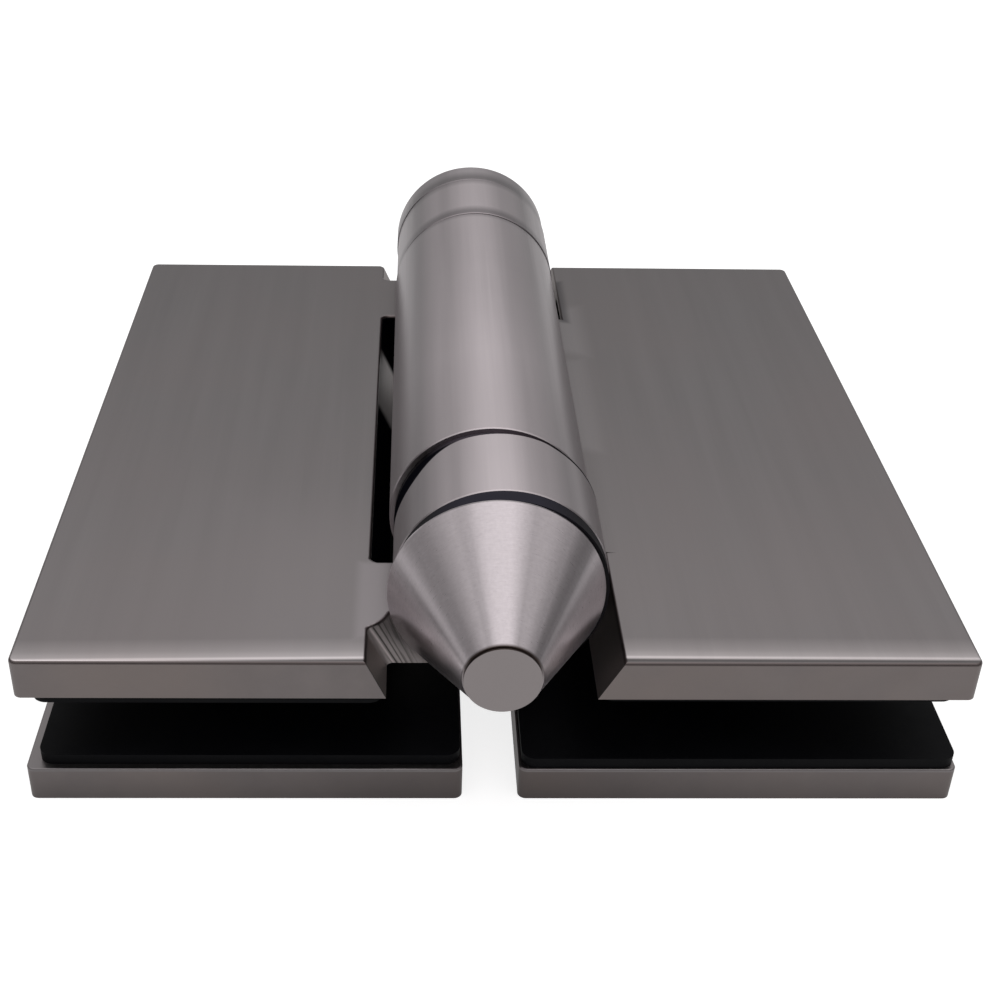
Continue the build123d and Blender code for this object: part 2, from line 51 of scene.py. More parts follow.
def startGroup(name, inputs, outputs):
    # inputs: name and value of each, outputs: name and kind of each
    group = bpy.data.node_groups.new(name, "ShaderNodeTree")
    for socketName, value in inputs.items():
        kind = "NodeSocketVector" if isinstance(value, tuple) else "NodeSocketFloat"
        socket = group.interface.new_socket(socketName, in_out="INPUT", socket_type=kind)
        socket.default_value = value
    for socketName, kind in outputs.items():
        group.interface.new_socket(socketName, in_out="OUTPUT", socket_type="NodeSocket" + kind)
    groupIn = addNode(group, "NodeGroupInput", (-900, 0))
    groupOut = addNode(group, "NodeGroupOutput", (900, 0))
    return group, groupIn, groupOut


def makeStreakGrain():
    # brush lines that run along Y, in millimetres: fine lines, and broad bands of them
    group, gin, gout = startGroup(
        "streakGrain",
        {"Vector": (0.0, 0.0, 0.0), "Across": 4.0, "Along": 0.06},
        {"Fine": "Float", "Broad": "Float"},
    )
    spread = addNode(group, "ShaderNodeCombineXYZ", (-700, -150))
    stretched = addNode(group, "ShaderNodeVectorMath", (-500, 0), operation="MULTIPLY")
    wide = addNode(group, "ShaderNodeVectorMath", (-300, -250), operation="MULTIPLY")
    wide.inputs[1].default_value = (0.11, 0.4, 0.11)
    fine = addNode(group, "ShaderNodeTexNoise", (-100, 100))
    setInputs(fine, Scale=1.0, Detail=4.0, Roughness=0.62)
    broad = addNode(group, "ShaderNodeTexNoise", (-100, -250))
    setInputs(broad, Scale=1.0, Detail=2.0, Roughness=0.5)
    link = group.links.new
    link(gin.outputs["Across"], spread.inputs["X"])
    link(gin.outputs["Along"], spread.inputs["Y"])
    link(gin.outputs["Across"], spread.inputs["Z"])
    link(gin.outputs["Vector"], stretched.inputs[0])
    link(spread.outputs[0], stretched.inputs[1])
    link(stretched.outputs[0], wide.inputs[0])
    link(stretched.outputs[0], fine.inputs["Vector"])
    link(wide.outputs[0], broad.inputs["Vector"])
    link(fine.outputs[0], gout.inputs["Fine"])
    link(broad.outputs[0], gout.inputs["Broad"])
    return group


def makeRoundPlace():
    # turns a place into millimetres round the barrel, along it and out from its axis, seam underneath
    group, gin, gout = startGroup(
        "roundPlace",
        {"Vector": (0.0, 0.0, 0.0), "Centre": (0.0, 0.0, 0.0), "Round": 12.0},
        {"Vector": "Vector", "Angle": "Float"},
    )
    moved = addNode(group, "ShaderNodeVectorMath", (-700, 0), operation="SUBTRACT")
    parts = addNode(group, "ShaderNodeSeparateXYZ", (-500, 0))
    angle = addNode(group, "ShaderNodeMath", (-300, 150), operation="ARCTAN2")
    way = addNode(group, "ShaderNodeMath", (-100, 150), operation="MULTIPLY")
    squareX = addNode(group, "ShaderNodeMath", (-300, -50), operation="MULTIPLY")
    squareZ = addNode(group, "ShaderNodeMath", (-300, -220), operation="MULTIPLY")
    total = addNode(group, "ShaderNodeMath", (-100, -120), operation="ADD")
    out = addNode(group, "ShaderNodeMath", (80, -120), operation="SQRT")
    joined = addNode(group, "ShaderNodeCombineXYZ", (300, 0))
    link = group.links.new
    link(gin.outputs["Vector"], moved.inputs[0])
    link(gin.outputs["Centre"], moved.inputs[1])
    link(moved.outputs[0], parts.inputs[0])
    link(parts.outputs["X"], angle.inputs[0])
    link(parts.outputs["Z"], angle.inputs[1])
    link(angle.outputs[0], way.inputs[0])
    link(gin.outputs["Round"], way.inputs[1])
    for socket in (0, 1):
        link(parts.outputs["X"], squareX.inputs[socket])
        link(parts.outputs["Z"], squareZ.inputs[socket])
    link(squareX.outputs[0], total.inputs[0])
    link(squareZ.outputs[0], total.inputs[1])
    link(total.outputs[0], out.inputs[0])
    link(way.outputs[0], joined.inputs["X"])
    link(parts.outputs["Y"], joined.inputs["Y"])
    link(out.outputs[0], joined.inputs["Z"])
    link(joined.outputs[0], gout.inputs["Vector"])
    link(angle.outputs[0], gout.inputs["Angle"])
    return group


def makeCloudPatch():
    # soft patches and small specks, for handling marks and dust
    group, gin, gout = startGroup(
        "cloudPatch",
        {"Vector": (0.0, 0.0, 0.0), "Size": 30.0, "Speck size": 1.0},
        {"Cloud": "Float", "Speck": "Float"},
    )
    large = addNode(group, "ShaderNodeMath", (-600, 150), operation="DIVIDE")
    large.inputs[0].default_value = 1.0
    small = addNode(group, "ShaderNodeMath", (-600, -150), operation="DIVIDE")
    small.inputs[0].default_value = 1.0
    cloud = addNode(group, "ShaderNodeTexNoise", (-350, 150))
    setInputs(cloud, Detail=3.0, Roughness=0.55)
    speck = addNode(group, "ShaderNodeTexNoise", (-350, -150))
    setInputs(speck, Detail=2.0, Roughness=0.5)
    sharp = addNode(group, "ShaderNodeMapRange", (-100, -150), interpolation_type="SMOOTHSTEP")
    setInputs(sharp, From_Min=0.62, From_Max=0.75)
    link = group.links.new
    link(gin.outputs["Size"], large.inputs[1])
    link(gin.outputs["Speck size"], small.inputs[1])
    link(gin.outputs["Vector"], cloud.inputs["Vector"])
    link(large.outputs[0], cloud.inputs["Scale"])
    link(gin.outputs["Vector"], speck.inputs["Vector"])
    link(small.outputs[0], speck.inputs["Scale"])
    link(cloud.outputs[0], gout.inputs["Cloud"])
    link(speck.outputs[0], sharp.inputs["Value"])
    link(sharp.outputs[0], gout.inputs["Speck"])
    return group


def makeBoxPlace():
    # 1 inside a box given by two corners in millimetres, fading out over a soft border
    group, gin, gout = startGroup(
        "boxPlace",
        {"Vector": (0.0, 0.0, 0.0), "Low": (0.0, 0.0, 0.0), "High": (1.0, 1.0, 1.0), "Soft": 0.3},
        {"Mask": "Float"},
    )
    fromLow = addNode(group, "ShaderNodeVectorMath", (-700, 100), operation="SUBTRACT")
    fromHigh = addNode(group, "ShaderNodeVectorMath", (-700, -100), operation="SUBTRACT")
    nearest = addNode(group, "ShaderNodeVectorMath", (-500, 0), operation="MINIMUM")
    parts = addNode(group, "ShaderNodeSeparateXYZ", (-300, 0))
    least = addNode(group, "ShaderNodeMath", (-100, 60), operation="MINIMUM")
    leastOfAll = addNode(group, "ShaderNodeMath", (80, 0), operation="MINIMUM")
    fade = addNode(group, "ShaderNodeMapRange", (280, 0), interpolation_type="SMOOTHSTEP")
    link = group.links.new
    link(gin.outputs["Vector"], fromLow.inputs[0])
    link(gin.outputs["Low"], fromLow.inputs[1])
    link(gin.outputs["High"], fromHigh.inputs[0])
    link(gin.outputs["Vector"], fromHigh.inputs[1])
    link(fromLow.outputs[0], nearest.inputs[0])
    link(fromHigh.outputs[0], nearest.inputs[1])
    link(nearest.outputs[0], parts.inputs[0])
    link(parts.outputs["X"], least.inputs[0])
    link(parts.outputs["Y"], least.inputs[1])
    link(least.outputs[0], leastOfAll.inputs[0])
    link(parts.outputs["Z"], leastOfAll.inputs[1])
    link(leastOfAll.outputs[0], fade.inputs["Value"])
    link(gin.outputs["Soft"], fade.inputs["From Max"])
    link(fade.outputs[0], gout.inputs["Mask"])
    return group


streakGrain = makeStreakGrain()
roundPlace = makeRoundPlace()
cloudPatch = makeCloudPatch()
boxPlace = makeBoxPlace()
print("shared effects built")


def startMaterial(name, metallic=1.0):
    material = bpy.data.materials.new(name)
    material.use_nodes = True
    tree = material.node_tree
    shader = tree.nodes["Principled BSDF"]
    shader.location = (900, 0)
    shader.inputs["Metallic"].default_value = metallic
    tree.nodes["Material Output"].location = (1200, 0)
    coordinates = addNode(tree, "ShaderNodeTexCoord", (-1200, 0))
    inMillimetres = addNode(tree, "ShaderNodeVectorMath", (-1000, 0), operation="SCALE")
    inMillimetres.inputs["Scale"].default_value = perMetre
    tree.links.new(coordinates.outputs["Object"], inMillimetres.inputs[0])
    return material, tree, shader, inMillimetres.outputs[0]


def finishShader(tree, shader, colour, rough, normal):
    tree.links.new(colour, shader.inputs["Base Color"])
    tree.links.new(rough, shader.inputs["Roughness"])
    tree.links.new(normal, shader.inputs["Normal"])


def useGroup(tree, group, at, vector, **values):
    node = addNode(tree, "ShaderNodeGroup", at, node_tree=group)
    tree.links.new(vector, node.inputs["Vector"])
    setInputs(node, **values)
    return node


def wrapBarrel(tree, at, place):
    return useGroup(tree, roundPlace, at, place, Centre=(axisX, 0.0, axisZ), Round=wrapRadius)


def splitUp(tree, at, vector):
    node = addNode(tree, "ShaderNodeSeparateXYZ", at)
    tree.links.new(vector, node.inputs[0])
    return node.outputs


def alongWay(tree, at, place, way):
    # how far a place lies along a direction
    node = addNode(tree, "ShaderNodeVectorMath", at, operation="DOT_PRODUCT")
    node.inputs[1].default_value = way
    tree.links.new(place, node.inputs[0])
    return node.outputs["Value"]


def mixColours(tree, at, factor, low, high, blend="MIX"):
    node = addNode(tree, "ShaderNodeMix", at, data_type="RGBA", blend_type=blend)
    for socket, value in ((0, factor), (6, low), (7, high)):
        if isinstance(value, bpy.types.NodeSocket):
            tree.links.new(value, node.inputs[socket])
        else:
            node.inputs[socket].default_value = value if socket == 0 else (*value, 1.0)
    return node.outputs[2]


def mapTo(tree, at, value, fromMin, fromMax, toMin, toMax):
    node = addNode(tree, "ShaderNodeMapRange", at)
    setInputs(node, From_Min=fromMin, From_Max=fromMax, To_Min=toMin, To_Max=toMax)
    tree.links.new(value, node.inputs["Value"])
    return node.outputs[0]


def riseOver(tree, at, value, span, most=1.0):
    # 0 at the start of the span, most at its end
    return mapTo(tree, at, value, span[0], span[1], 0.0, most)


def turnOver(tree, at, mask):
    return mapTo(tree, at, mask, 0.0, 1.0, 1.0, 0.0)


def addUp(tree, at, first, second, share=1.0):
    # first plus share times second
    node = addNode(tree, "ShaderNodeMath", at, operation="MULTIPLY_ADD")
    tree.links.new(second, node.inputs[0])
    node.inputs[1].default_value = share
    tree.links.new(first, node.inputs[2])
    return node.outputs[0]


def multiply(tree, at, first, second):
    node = addNode(tree, "ShaderNodeMath", at, operation="MULTIPLY")
    tree.links.new(first, node.inputs[0])
    tree.links.new(second, node.inputs[1])
    return node.outputs[0]


def distanceFrom(tree, at, value, middle):
    away = addNode(tree, "ShaderNodeMath", at, operation="SUBTRACT")
    tree.links.new(value, away.inputs[0])
    away.inputs[1].default_value = middle
    distance = addNode(tree, "ShaderNodeMath", (at[0] + 150, at[1]), operation="ABSOLUTE")
    tree.links.new(away.outputs[0], distance.inputs[0])
    return distance.outputs[0]


def followCurve(tree, at, value, curve):
    # a number that follows value through (value, number) pairs
    first, last = curve[0][0], curve[-1][0]
    most = max(number for where, number in curve)
    ramp = addNode(tree, "ShaderNodeValToRGB", (at[0] + 160, at[1]))
    steps = ramp.color_ramp.elements
    steps[0].color = (curve[0][1] / most,) * 3 + (1,)
    steps[1].color = (curve[-1][1] / most,) * 3 + (1,)
    for where, number in curve[1:-1]:
        step = steps.new((where - first) / (last - first))
        step.color = (number / most,) * 3 + (1,)
    tree.links.new(riseOver(tree, at, value, (first, last)), ramp.inputs[0])
    node = addNode(tree, "ShaderNodeMath", (at[0] + 420, at[1]), operation="MULTIPLY")
    tree.links.new(ramp.outputs[0], node.inputs[0])
    node.inputs[1].default_value = most
    return node.outputs[0]


def scaleColour(tree, at, colour, factor):
    node = addNode(tree, "ShaderNodeVectorMath", at, operation="SCALE")
    tree.links.new(colour, node.inputs[0])
    tree.links.new(factor, node.inputs["Scale"])
    return node.outputs[0]


def roughFrom(tree, at, noise, look):
    # the noise lies mostly between 0.3 and 0.7
    return mapTo(tree, at, noise, 0.3, 0.7, *look["rough"])


def addBump(tree, at, height, look):
    node = addNode(tree, "ShaderNodeBump", at)
    setInputs(node, Strength=look["bumpStrength"], Distance=look["bumpDistance"])
    tree.links.new(height, node.inputs["Height"])
    return node.outputs[0]


def blackOut(tree, at, shader, mask):
    # painted shade: where the mask is 1 the metal gives way to a surface that reflects nothing
    tree.links.new(turnOver(tree, at, mask), shader.inputs["Metallic"])
    shader.inputs["Specular IOR Level"].default_value = 0.0


def dress(material, *nodeNames):
    for nodeName in nodeNames:
        slots = nodes[nodeName].data.materials
        slots.clear()
        slots.append(material)


# leaf plates: satin stainless, finely brushed along the barrel, with plain sawn and ground sides
plateLook = {
    "dark": (0.205, 0.192, 0.194),
    "light": (0.235, 0.221, 0.223),
    "warm": (0.232, 0.208, 0.208),
    "sideDark": (0.19, 0.171, 0.17),
    "sideLight": (0.222, 0.199, 0.196),
    "sideWarm": (0.234, 0.2, 0.188),
    # painted shade: the darker band just under the front plates' rounded top edge
    "edge": (0.14, 0.118, 0.116),
    "backGapShade": (0.085, 0.072, 0.07),
    "unlit": (0.0012, 0.0014, 0.0026),
    "across": 3.0,
    "along": 0.03,
    "grainShare": 0.7,
    "toneSpan": (0.5, 1.2),
    "cloudSize": 34.0,
    "cloudSpan": (0.35, 0.68),
    "cloudStrength": 0.6,
    "sideGrainShare": 0.4,
    "sideToneSpan": (0.45, 0.95),
    "sideCloudSize": 7.0,
    "sideCloudSpan": (0.42, 0.62),
    "sideCloudStrength": 0.7,
    "sideStart": (0.5, 0.36),  # millimetres under the top, all side and no side
    "edgeShadeStart": (0.07, 0.02),
    "backGapShadeReach": (4.0, 45.0, 0.62, 0.2),  # back plates' painted shade: way from the gap, from and to, and how dark there
    "rough": (0.29, 0.35),
    "sideRough": 0.42,
    "lugRough": 0.3,
    "bumpStrength": 0.05,
    "bumpDistance": 0.00001,
}
# places on one plate that differ from the rest of it, in millimetres:
# low corner, high corner, soft border, colour, strength
topLightAndMarks = {
    "left_front_plate": [
        # painted light: lighter towards the near lug, and most beside it
        ((-50.0, -90.0, -20.0), (4.0, -10.0, 70.0), 26.0, (0.26, 0.24, 0.244), 0.55),
        ((-20.5, -56.0, 0.0), (-10.0, -36.0, 50.0), 1.8, (0.33, 0.304, 0.314), 0.7),
    ],
    "right_front_plate": [
        # patches of the ground weld painted lighter as its sheen, and a darker patch beside the far ring
        ((12.5, 29.0, 0.0), (22.8, 54.0, 50.0), 4.8, (0.32, 0.3, 0.305), 0.6),
        ((13.0, -6.0, 0.0), (21.4, 31.0, 50.0), 4.0, (0.31, 0.29, 0.295), 0.5),
        ((15.6, 44.0, 0.0), (19.2, 65.0, 50.0), 1.7, (0.06, 0.055, 0.06), 0.7),
    ],
}
paintedSideLight = {
    "left_front_plate": [
        # painted light: the near part of the inner side and the ground front of the near lug are lightened
        ((-18.7, -60.4, 17.5), (-14.6, -52.7, 24.3), 0.2, (0.42, 0.375, 0.355), 1.0),
        ((-19.0, -54.0, 17.5), (-8.0, -46.5, 24.62), 0.3, (0.45, 0.415, 0.41), 0.9),
    ],
}
# painted highlight near the front edge of a top, with a darker band in front of it: slope and start of the
# line, and brightness by the way from it
nearHighlight = {"left_front_plate": (0.017, -59.07), "right_front_plate": (-0.0037, -59.05)}
highlightCurve = [
    (-1.6, 0.68), (-0.9, 0.56), (-0.62, 0.56), (-0.5, 0.85), (-0.37, 1.55),
    (-0.2, 2.7), (0.0, 3.2), (0.2, 2.6), (0.35, 2.05), (0.6, 1.9),
    (0.93, 1.8), (1.35, 1.6), (1.8, 1.45), (2.65, 1.3), (4.4, 1.0),
]
# painted shade: the tops darken a little towards the far end, the back plates' sides towards the ground
topShadeCurve = [(-60.0, 1.02), (-40.0, 1.03), (0.0, 0.97), (35.0, 0.93), (72.0, 0.86)]
backShadeCurve = [(0.0, 0.78), (1.0, 0.86), (3.0, 0.97), (5.4, 1.08)]
# unlit inner sides, low and high corner and border, and the window in each that still catches light
plateShade = {
    "left_front_plate": {
        "shade": ((-18.3, -36.5, 15.0), (-8.0, 47.6, 24.4), 0.2),
        "window": ((-20.0, 11.0, 16.0), (-12.0, 35.0, 28.0), 3.5),
    },
    "right_front_plate": {
        "shade": ((10.0, -36.0, 15.0), (17.1, 80.0, 24.3), 0.2),
        "window": ((12.0, 55.0, 10.0), (21.0, 90.0, 30.0), 3.5),
    },
}
# slanting marks that the mill left on the front of the near lug, and painted highlights along its edge
millLook = {
    "place": ((-18.6, -54.0, 17.5), (-8.0, -47.0, 24.55), 0.25),
    "acrossMarks": (0.872, 0.0, 0.489),
    "alongMarks": (0.489, 0.0, -0.872),
    "scratch": (0.12, 0.11, 0.108),
    "scratchAcross": 3.4,
    "scratchAlong": 0.16,
    "scratchSpan": (0.36, 0.5, 0.55, 0.0),
    "scratchHeight": 4.0,
    "core": 0.3,  # share of a mark's half width that has its full strength
    # place across the marks, half width, colour, strength
    # the bright lines are painted highlights along the ridge at the lug's edge, the dark lines are mill
    # marks
    "marks": [
        (-3.45, 0.19, (0.66, 0.6, 0.6), 0.85),
        (-3.08, 0.16, (0.04, 0.036, 0.035), 0.8),
        (-2.72, 0.15, (0.52, 0.48, 0.48), 0.6),
        (-2.4, 0.13, (0.05, 0.045, 0.043), 0.7),
        (-1.9, 0.1, (0.1, 0.09, 0.088), 0.5),
        (-1.2, 0.12, (0.1, 0.09, 0.088), 0.5),
    ],
}
frontPlatesAbove = 0.02  # a plate whose top is higher than this, in metres, is a front plate
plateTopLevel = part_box("left_front_plate")[1].z


def boxMask(tree, at, place, low, high, border):
    return useGroup(tree, boxPlace, at, place, Low=low, High=high, Soft=border).outputs["Mask"]


def addMarks(tree, at, place, colour, marks):
    for low, high, border, shade, strength in marks:
        spot = boxMask(tree, at, place, low, high, border)
        share = riseOver(tree, (at[0] + 150, at[1]), spot, (0.0, 1.0), strength)
        colour = mixColours(tree, (at[0] + 300, at[1]), share, colour, shade)
    return colour


def addMillMarks(tree, place, colour, height, look):
    # returns the colour and the bump height with the marks, and the mask of the lug's front
    onLug = boxMask(tree, (900, -700), place, *look["place"])
    acrossMarks = alongWay(tree, (500, -900), place, look["acrossMarks"])
    alongMarks = alongWay(tree, (500, -1050), place, look["alongMarks"])
    joined = addNode(tree, "ShaderNodeCombineXYZ", (700, -950))
    tree.links.new(acrossMarks, joined.inputs["X"])
    tree.links.new(alongMarks, joined.inputs["Y"])
    scratches = useGroup(
        tree, streakGrain, (900, -950), joined.outputs[0],
        Across=look["scratchAcross"], Along=look["scratchAlong"],
    )
    scratch = mapTo(tree, (1080, -950), scratches.outputs["Fine"], *look["scratchSpan"])
    scratch = multiply(tree, (1240, -900), scratch, onLug)
    colour = mixColours(tree, (1400, -700), scratch, colour, look["scratch"])
    for middle, reach, shade, strength in look["marks"]:
        distance = distanceFrom(tree, (900, -1150), acrossMarks, middle)
        line = mapTo(tree, (1200, -1150), distance, reach * look["core"], reach, strength, 0.0)
        line = multiply(tree, (1350, -1100), line, onLug)
        colour = mixColours(tree, (1500, -700), line, colour, shade)
    rise = multiply(tree, (1240, -1250), scratches.outputs["Fine"], onLug)
    return colour, addUp(tree, (1400, -1250), height, rise, look["scratchHeight"]), onLug


def plateTopColour(tree, nodeName, place, parts, grain, cloud, look):
    tone = addUp(tree, (-450, 150), grain.outputs["Broad"], grain.outputs["Fine"], look["grainShare"])
    tone = riseOver(tree, (-280, 150), tone, look["toneSpan"])
    colour = mixColours(tree, (-80, 250), tone, look["dark"], look["light"])
    cloudy = riseOver(tree, (-280, -100), cloud, look["cloudSpan"], look["cloudStrength"])
    colour = mixColours(tree, (100, 200), cloudy, colour, look["warm"])
    # painted light, the ground weld's painted sheen and a darker patch, on the top
    colour = addMarks(tree, (250, 350), place, colour, topLightAndMarks.get(nodeName, []))
    # painted shade towards the far end of the top
    level = followCurve(tree, (-280, 850), parts["Y"], topShadeCurve)
    colour = scaleColour(tree, (400, 350), colour, level)
    # painted highlight near the front edge of the top
    if nodeName in nearHighlight:
        slope, start = nearHighlight[nodeName]
        fromLine = alongWay(tree, (-450, 1050), place, (-slope, 1.0, 0.0))
        curve = [(start + way, number) for way, number in highlightCurve]
        colour = scaleColour(tree, (500, 350), colour, followCurve(tree, (-280, 1050), fromLine, curve))
    return colour


def plateSideColour(tree, isFront, place, parts, grain, cloud, look):
    sidePatches = useGroup(tree, cloudPatch, (-700, -350), place, Size=look["sideCloudSize"])
    tone = addUp(
        tree, (-450, -300), sidePatches.outputs["Cloud"], grain.outputs["Fine"], look["sideGrainShare"]
    )
    tone = riseOver(tree, (-280, -300), tone, look["sideToneSpan"])
    side = mixColours(tree, (-80, -250), tone, look["sideDark"], look["sideLight"])
    cloudy = riseOver(tree, (-280, -450), cloud, look["sideCloudSpan"], look["sideCloudStrength"])
    side = mixColours(tree, (100, -250), cloudy, side, look["sideWarm"])
    if not isFront:
        # painted shade: the back plates are darker, most of all towards the gap between them
        backGapShade = mapTo(tree, (-280, -600), distanceFrom(tree, (-450, -600), parts["X"], 0.0), *look["backGapShadeReach"])
        side = mixColours(tree, (250, -250), backGapShade, side, look["backGapShade"])
        side = scaleColour(tree, (350, -250), side, followCurve(tree, (-450, -780), parts["Z"], backShadeCurve))
    return side


def makePlateSteel(name, nodeName, look):
    material, tree, shader, place = startMaterial(name)
    parts = splitUp(tree, (-900, 450), place)
    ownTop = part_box(nodeName)[1].z
    isFront = ownTop > frontPlatesAbove
    plateTop = (plateTopLevel if isFront else ownTop) * perMetre
    grain = useGroup(tree, streakGrain, (-700, 200), place, Across=look["across"], Along=look["along"])
    cloud = useGroup(tree, cloudPatch, (-700, -100), place, Size=look["cloudSize"]).outputs["Cloud"]
    colour = plateTopColour(tree, nodeName, place, parts, grain, cloud, look)
    side = plateSideColour(tree, isFront, place, parts, grain, cloud, look)
    allSide, noSide = look["sideStart"]
    sideWall = mapTo(tree, (-80, 880), parts["Z"], plateTop - allSide, plateTop - noSide, 1.0, 0.0)
    if isFront:
        # painted shade: a darker band just under the top's rounded edge
        allEdge, noEdge = look["edgeShadeStart"]
        edge = mapTo(tree, (-80, 700), parts["Z"], plateTop - allEdge, plateTop - noEdge, 1.0, 0.0)
        colour = mixColours(tree, (550, 200), edge, colour, look["edge"])
    colour = mixColours(tree, (600, 200), sideWall, colour, side)
    # painted light on the near inner side and on the front of the near lug
    colour = addMarks(tree, (450, -100), place, colour, paintedSideLight.get(nodeName, []))
    height = grain.outputs["Fine"]
    rough = roughFrom(tree, (120, -450), grain.outputs["Fine"], look)
    rough = addUp(tree, (300, -450), rough, sideWall, look["sideRough"] - look["rough"][1])
    if nodeName == "left_front_plate":
        colour, height, onLug = addMillMarks(tree, place, colour, height, millLook)
        rough = addUp(tree, (450, -450), rough, onLug, look["lugRough"])
    if nodeName in plateShade:
        shade = boxMask(tree, (450, 500), place, *plateShade[nodeName]["shade"])
        window = boxMask(tree, (450, 700), place, *plateShade[nodeName]["window"])
        shade = multiply(tree, (780, 600), shade, turnOver(tree, (620, 700), window))
        colour = mixColours(tree, (900, 300), shade, colour, look["unlit"])
        blackOut(tree, (900, 600), shader, shade)
    finishShader(tree, shader, colour, rough, addBump(tree, (520, -650), height, look))
    return material


for nodeName in ("left_front_plate", "right_front_plate", "left_back_plate", "right_back_plate"):
    dress(makePlateSteel("satinSteel_" + nodeName, nodeName, plateLook), nodeName)
print("plates dressed")


# barrel rings and tube: drawn tube, polished lengthwise, with painted light and shade round the top and
# along it, darker at the seams, and painted black shade at the near ring's far end
barrelLook = {
    "dark": (0.59, 0.535, 0.555),
    "light": (0.67, 0.61, 0.63),
    "seam": (0.09, 0.078, 0.085),
    "gap": (0.004, 0.004, 0.006),
    "across": 2.4,
    "along": 0.025,
    "grainShare": 0.5,
    "cloudShare": 0.5,
    "cloudSize": 22.0,
    "toneSpan": (0.65, 1.35),
    "evenLight": 0.75,
    "roundStart": (2.4, 1.0),  # millimetres in from the barrel's radius, all end face and all round
    "seamCore": 0.2,  # share of a seam's half width that is fully darkened
    "gapShadeEdge": (-0.2, 0.02),
    "rough": (0.31, 0.37),
    "bumpStrength": 0.04,
    "bumpDistance": 0.00001,
}
# painted light and shade round the barrel's top: angle from the top, brightness
barrelLightCurve = [
    (-1.6, 0.64), (-1.1, 0.56), (-0.95, 0.49), (-0.84, 0.42), (-0.76, 0.5), (-0.68, 0.67), (-0.58, 0.83),
    (-0.5, 0.87), (-0.42, 0.79), (-0.36, 0.79), (-0.28, 0.89), (-0.18, 0.99), (-0.08, 1.06), (0.02, 1.08),
    (0.12, 1.06), (0.2, 0.99), (0.27, 0.88), (0.33, 0.8), (0.47, 0.77), (0.55, 0.71), (0.62, 0.62),
    (0.7, 0.51), (0.76, 0.51), (0.82, 0.54), (0.92, 0.51), (1.0, 0.51), (1.1, 0.55), (1.6, 0.62),
]
# painted shade of the gap at the far end of the near ring, in black: angle from the top, how far it reaches
# along the ring
gapShadeCurve = [
    (-1.6, 3.6), (-1.15, 3.6), (-1.02, 3.4), (-0.92, 3.05), (-0.84, 2.6), (-0.76, 2.05), (-0.68, 1.5),
    (-0.6, 1.0), (-0.52, 0.6), (-0.44, 0.3), (-0.34, 0.1), (-0.25, 0.0), (0.45, 0.0), (0.62, 0.4),
    (0.8, 0.6), (1.6, 0.6),
]
# painted light and shade along the barrel, darker towards the far end
lengthShadeCurve = [(-52.0, 1.02), (-28.0, 0.97), (-10.0, 1.04), (25.0, 0.92), (66.0, 0.9)]
tubeFarEnd = tubeHigh.y * perMetre
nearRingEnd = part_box("near_knuckle")[1].y * perMetre
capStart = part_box("far_knuckle")[1].y * perMetre
# middle, half width and depth of the darkening at a seam
farSeams = [(tubeFarEnd + 1.3, 3.0, 0.6), (capStart + 0.8, 3.6, 0.55)]


def makeBarrelSteel(name, look, calm=1.0, gapShadeEnd=None):
    # calm below 1 makes the painted light and shade round the top weaker
    material, tree, shader, place = startMaterial(name)
    wrapped = wrapBarrel(tree, (-850, 200), place)
    around, angle = wrapped.outputs["Vector"], wrapped.outputs["Angle"]
    parts = splitUp(tree, (-650, 450), around)
    grain = useGroup(tree, streakGrain, (-650, 200), around, Across=look["across"], Along=look["along"])
    patches = useGroup(tree, cloudPatch, (-650, -100), place, Size=look["cloudSize"])
    tone = addUp(tree, (-420, 150), grain.outputs["Broad"], grain.outputs["Fine"], look["grainShare"])
    tone = addUp(tree, (-250, 150), tone, patches.outputs["Cloud"], look["cloudShare"])
    tone = riseOver(tree, (-80, 150), tone, look["toneSpan"])
    colour = mixColours(tree, (150, 200), tone, look["dark"], look["light"])
    even = look["evenLight"]
    paintedLight = [(where, even + (level - even) * calm) for where, level in barrelLightCurve]
    # the painted light and shade round the top fade to an even level on end faces
    roundSpan = [barrelRadius - inside for inside in look["roundStart"]]
    evened = addNode(tree, "ShaderNodeMapRange", (200, 850))
    evened.inputs["To Min"].default_value = even
    tree.links.new(riseOver(tree, (50, 950), parts["Z"], roundSpan), evened.inputs["Value"])
    tree.links.new(followCurve(tree, (-420, 800), angle, paintedLight), evened.inputs["To Max"])
    colour = scaleColour(tree, (340, 260), colour, evened.outputs[0])
    # painted light and shade along the barrel
    colour = scaleColour(tree, (340, 420), colour, followCurve(tree, (-420, 620), parts["Y"], lengthShadeCurve))
    for middle, reach, depth in farSeams:
        distance = distanceFrom(tree, (-420, 450), parts["Y"], middle)
        seamDarkening = mapTo(tree, (-80, 450), distance, reach * look["seamCore"], reach, depth, 0.0)
        colour = mixColours(tree, (320, 300), seamDarkening, colour, look["seam"])
    # painted shade: the near ring's far end is black where its gap to the tube lies in shade
    if gapShadeEnd is not None:
        reached = addUp(tree, (100, 1000), parts["Y"], followCurve(tree, (-420, 1000), angle, gapShadeCurve))
        black = riseOver(tree, (250, 1000), reached, [gapShadeEnd + border for border in look["gapShadeEdge"]])
        colour = mixColours(tree, (420, 300), black, colour, look["gap"])
        blackOut(tree, (420, 1000), shader, black)
    rough = roughFrom(tree, (150, -100), grain.outputs["Fine"], look)
    finishShader(tree, shader, colour, rough, addBump(tree, (500, -350), grain.outputs["Fine"], look))
    return material


